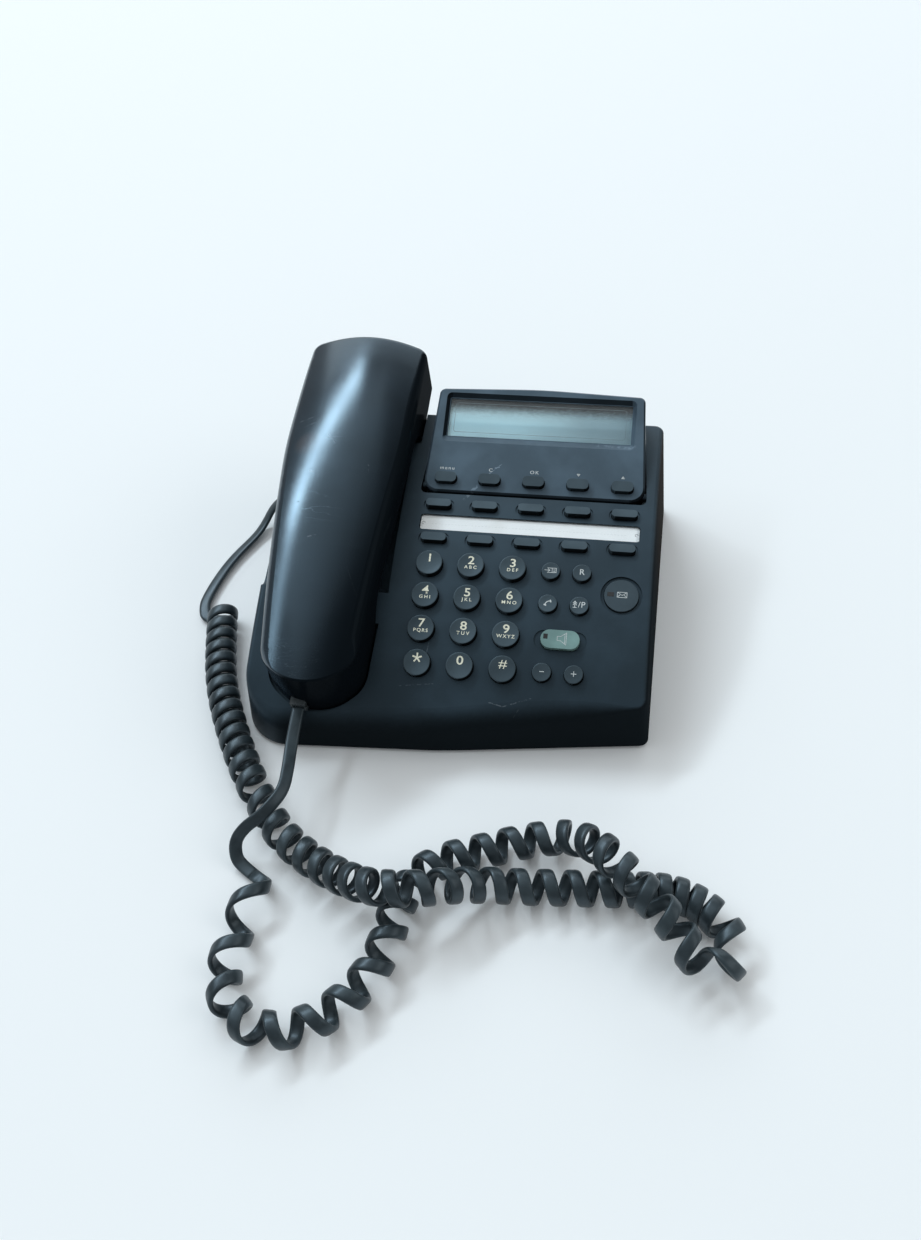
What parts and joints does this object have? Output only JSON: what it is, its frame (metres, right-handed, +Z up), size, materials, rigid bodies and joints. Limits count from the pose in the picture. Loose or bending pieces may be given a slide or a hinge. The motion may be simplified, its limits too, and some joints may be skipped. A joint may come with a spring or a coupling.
{
  "type": "corded desk telephone",
  "caption": "Desk telephone with push buttons, a display that tilts up from a pocket, and a handset on a curly cord that lies in a cradle.",
  "frame": {"origin": "on the table, under the middle of the telephone's box without its cord", "axes": "+Z up, +X to the right of someone who uses it, +Y to its back"},
  "size_m": [0.272, 0.3325, 0.0928],
  "materials": {
    "casing_plastic": "finely grained, dark blue grey",
    "display_plastic": "finely grained, dark blue grey",
    "handset_plastic": "satin gloss with light wear, dark blue grey",
    "key_plastic": "satin with printed legends, near black",
    "message_plastic": "satin disc with a dark lamp window",
    "loudspeaker_key_plastic": "satin, grey green",
    "clear_window": "clear, faintly scratched",
    "lcd_glass": "grey green liquid crystal",
    "card": "white card",
    "mat_rubber": "moulded contact mat",
    "foot_rubber": "plain",
    "board_laminate": "green laminate",
    "speaker_steel": "dark frame",
    "screw_steel": "plated",
    "socket_plastic": "moulded",
    "plug_plastic": "smoky clear",
    "cord_sleeve": "satin, dark slate"
  },
  "bodies": {
    "base": {"upper_casing": "casing_plastic", "lower_casing": "casing_plastic", "circuit_board": "board_laminate", "keypad_mat": "mat_rubber", "label_card": "card", "label_window": "clear_window", "loudspeaker": "speaker_steel", "housing_screws": "screw_steel", "rubber_feet": "foot_rubber", "base_jack": "socket_plastic", "line_jack": "socket_plastic", "base_plug": "plug_plastic", "cord_base_leader": "cord_sleeve", "cord_coil": "cord_sleeve", "cord_handset_leader": "cord_sleeve"},
    "handset": {"handset_outer_shell": "handset_plastic", "handset_inner_shell": "handset_plastic", "receiver_capsule": "speaker_steel", "microphone_capsule": "speaker_steel", "handset_plug": "plug_plastic"},
    "display": {"display_housing": "display_plastic", "display_rear_cover": "casing_plastic", "display_window": "clear_window", "lcd_panel": "lcd_glass"},
    "hook": {"hook_switch": "casing_plastic"},
    "body_key_1": {"key_1": "key_plastic"},
    "body_key_2": {"key_2": "key_plastic"},
    "body_key_3": {"key_3": "key_plastic"},
    "body_key_4": {"key_4": "key_plastic"},
    "body_key_5": {"key_5": "key_plastic"},
    "body_key_6": {"key_6": "key_plastic"},
    "body_key_7": {"key_7": "key_plastic"},
    "body_key_8": {"key_8": "key_plastic"},
    "body_key_9": {"key_9": "key_plastic"},
    "body_key_star": {"key_star": "key_plastic"},
    "body_key_0": {"key_0": "key_plastic"},
    "body_key_hash": {"key_hash": "key_plastic"},
    "body_directory_key": {"directory_key": "key_plastic"},
    "body_recall_key": {"recall_key": "key_plastic"},
    "body_redial_key": {"redial_key": "key_plastic"},
    "body_pause_key": {"pause_key": "key_plastic"},
    "body_minus_key": {"minus_key": "key_plastic"},
    "body_plus_key": {"plus_key": "key_plastic"},
    "body_function_key_1": {"function_key_1": "key_plastic"},
    "body_function_key_2": {"function_key_2": "key_plastic"},
    "body_function_key_3": {"function_key_3": "key_plastic"},
    "body_function_key_4": {"function_key_4": "key_plastic"},
    "body_function_key_5": {"function_key_5": "key_plastic"},
    "body_function_key_6": {"function_key_6": "key_plastic"},
    "body_function_key_7": {"function_key_7": "key_plastic"},
    "body_function_key_8": {"function_key_8": "key_plastic"},
    "body_function_key_9": {"function_key_9": "key_plastic"},
    "body_function_key_10": {"function_key_10": "key_plastic"},
    "body_loudspeaker_key": {"loudspeaker_key": "loudspeaker_key_plastic"},
    "body_message_key": {"message_key": "message_plastic"},
    "body_soft_key_1": {"soft_key_1": "key_plastic"},
    "body_soft_key_2": {"soft_key_2": "key_plastic"},
    "body_soft_key_3": {"soft_key_3": "key_plastic"},
    "body_soft_key_4": {"soft_key_4": "key_plastic"},
    "body_soft_key_5": {"soft_key_5": "key_plastic"}
  },
  "joints": [
    {"name": "handset_lift", "type": "slide", "parent": "base", "child": "handset", "axis": [0, -0.2164, 0.9763], "range_m": [0, 0.08]},
    {"name": "display_tilt", "type": "hinge", "parent": "base", "child": "display", "pos_m": [0.0316, 0.0259, 0.0563], "axis": [1, 0, 0], "range_deg": [-22, 18]},
    {"name": "hook_travel", "type": "slide", "parent": "base", "child": "hook", "axis": [0, -0.2164, 0.9763], "range_m": [0, 0.004]},
    {"name": "key_1_press", "type": "slide", "parent": "base", "child": "body_key_1", "axis": [0, 0.2784, -0.9605], "range_m": [0, 0.0012], "stiffness_N_per_m": 800},
    {"name": "key_2_press", "type": "slide", "parent": "base", "child": "body_key_2", "axis": [0, 0.2784, -0.9605], "range_m": [0, 0.0012], "stiffness_N_per_m": 800},
    {"name": "key_3_press", "type": "slide", "parent": "base", "child": "body_key_3", "axis": [0, 0.2784, -0.9605], "range_m": [0, 0.0012], "stiffness_N_per_m": 800},
    {"name": "key_4_press", "type": "slide", "parent": "base", "child": "body_key_4", "axis": [0, 0.332, -0.9433], "range_m": [0, 0.0012], "stiffness_N_per_m": 800},
    {"name": "key_5_press", "type": "slide", "parent": "base", "child": "body_key_5", "axis": [0, 0.332, -0.9433], "range_m": [0, 0.0012], "stiffness_N_per_m": 800},
    {"name": "key_6_press", "type": "slide", "parent": "base", "child": "body_key_6", "axis": [0, 0.332, -0.9433], "range_m": [0, 0.0012], "stiffness_N_per_m": 800},
    {"name": "key_7_press", "type": "slide", "parent": "base", "child": "body_key_7", "axis": [0, 0.3845, -0.9231], "range_m": [0, 0.0012], "stiffness_N_per_m": 800},
    {"name": "key_8_press", "type": "slide", "parent": "base", "child": "body_key_8", "axis": [0, 0.3845, -0.9231], "range_m": [0, 0.0012], "stiffness_N_per_m": 800},
    {"name": "key_9_press", "type": "slide", "parent": "base", "child": "body_key_9", "axis": [0, 0.3845, -0.9231], "range_m": [0, 0.0012], "stiffness_N_per_m": 800},
    {"name": "key_star_press", "type": "slide", "parent": "base", "child": "body_key_star", "axis": [0, 0.4358, -0.9], "range_m": [0, 0.0012], "stiffness_N_per_m": 800},
    {"name": "key_0_press", "type": "slide", "parent": "base", "child": "body_key_0", "axis": [0, 0.4358, -0.9], "range_m": [0, 0.0012], "stiffness_N_per_m": 800},
    {"name": "key_hash_press", "type": "slide", "parent": "base", "child": "body_key_hash", "axis": [0, 0.4358, -0.9], "range_m": [0, 0.0012], "stiffness_N_per_m": 800},
    {"name": "directory_key_press", "type": "slide", "parent": "base", "child": "body_directory_key", "axis": [0, 0.2784, -0.9605], "range_m": [0, 0.0012], "stiffness_N_per_m": 800},
    {"name": "recall_key_press", "type": "slide", "parent": "base", "child": "body_recall_key", "axis": [0, 0.2784, -0.9605], "range_m": [0, 0.0012], "stiffness_N_per_m": 800},
    {"name": "redial_key_press", "type": "slide", "parent": "base", "child": "body_redial_key", "axis": [0, 0.332, -0.9433], "range_m": [0, 0.0012], "stiffness_N_per_m": 800},
    {"name": "pause_key_press", "type": "slide", "parent": "base", "child": "body_pause_key", "axis": [0, 0.332, -0.9433], "range_m": [0, 0.0012], "stiffness_N_per_m": 800},
    {"name": "minus_key_press", "type": "slide", "parent": "base", "child": "body_minus_key", "axis": [0, 0.4358, -0.9], "range_m": [0, 0.0012], "stiffness_N_per_m": 800},
    {"name": "plus_key_press", "type": "slide", "parent": "base", "child": "body_plus_key", "axis": [0, 0.4358, -0.9], "range_m": [0, 0.0012], "stiffness_N_per_m": 800},
    {"name": "function_key_1_press", "type": "slide", "parent": "base", "child": "body_function_key_1", "axis": [0, 0.1661, -0.9861], "range_m": [0, 0.0012], "stiffness_N_per_m": 800},
    {"name": "function_key_2_press", "type": "slide", "parent": "base", "child": "body_function_key_2", "axis": [0, 0.1661, -0.9861], "range_m": [0, 0.0012], "stiffness_N_per_m": 800},
    {"name": "function_key_3_press", "type": "slide", "parent": "base", "child": "body_function_key_3", "axis": [0, 0.1661, -0.9861], "range_m": [0, 0.0012], "stiffness_N_per_m": 800},
    {"name": "function_key_4_press", "type": "slide", "parent": "base", "child": "body_function_key_4", "axis": [0, 0.1661, -0.9861], "range_m": [0, 0.0012], "stiffness_N_per_m": 800},
    {"name": "function_key_5_press", "type": "slide", "parent": "base", "child": "body_function_key_5", "axis": [0, 0.1661, -0.9861], "range_m": [0, 0.0012], "stiffness_N_per_m": 800},
    {"name": "function_key_6_press", "type": "slide", "parent": "base", "child": "body_function_key_6", "axis": [0, 0.2312, -0.9729], "range_m": [0, 0.0012], "stiffness_N_per_m": 800},
    {"name": "function_key_7_press", "type": "slide", "parent": "base", "child": "body_function_key_7", "axis": [0, 0.2312, -0.9729], "range_m": [0, 0.0012], "stiffness_N_per_m": 800},
    {"name": "function_key_8_press", "type": "slide", "parent": "base", "child": "body_function_key_8", "axis": [0, 0.2312, -0.9729], "range_m": [0, 0.0012], "stiffness_N_per_m": 800},
    {"name": "function_key_9_press", "type": "slide", "parent": "base", "child": "body_function_key_9", "axis": [0, 0.2312, -0.9729], "range_m": [0, 0.0012], "stiffness_N_per_m": 800},
    {"name": "function_key_10_press", "type": "slide", "parent": "base", "child": "body_function_key_10", "axis": [0, 0.2312, -0.9729], "range_m": [0, 0.0012], "stiffness_N_per_m": 800},
    {"name": "loudspeaker_key_press", "type": "slide", "parent": "base", "child": "body_loudspeaker_key", "axis": [0, 0.3866, -0.9222], "range_m": [0, 0.0012], "stiffness_N_per_m": 800},
    {"name": "message_key_press", "type": "slide", "parent": "base", "child": "body_message_key", "axis": [0, 0.3089, -0.9511], "range_m": [0, 0.0012], "stiffness_N_per_m": 800},
    {"name": "soft_key_1_press", "type": "slide", "parent": "display", "child": "body_soft_key_1", "axis": [0, 0.3746, -0.9272], "range_m": [0, 0.0012], "stiffness_N_per_m": 800},
    {"name": "soft_key_2_press", "type": "slide", "parent": "display", "child": "body_soft_key_2", "axis": [0, 0.3746, -0.9272], "range_m": [0, 0.0012], "stiffness_N_per_m": 800},
    {"name": "soft_key_3_press", "type": "slide", "parent": "display", "child": "body_soft_key_3", "axis": [0, 0.3746, -0.9272], "range_m": [0, 0.0012], "stiffness_N_per_m": 800},
    {"name": "soft_key_4_press", "type": "slide", "parent": "display", "child": "body_soft_key_4", "axis": [0, 0.3746, -0.9272], "range_m": [0, 0.0012], "stiffness_N_per_m": 800},
    {"name": "soft_key_5_press", "type": "slide", "parent": "display", "child": "body_soft_key_5", "axis": [0, 0.3746, -0.9272], "range_m": [0, 0.0012], "stiffness_N_per_m": 800}
  ],
  "couplings": [
    {"joint": "hook_travel", "follows": "handset_lift", "ratio": 0.05}
  ]
}
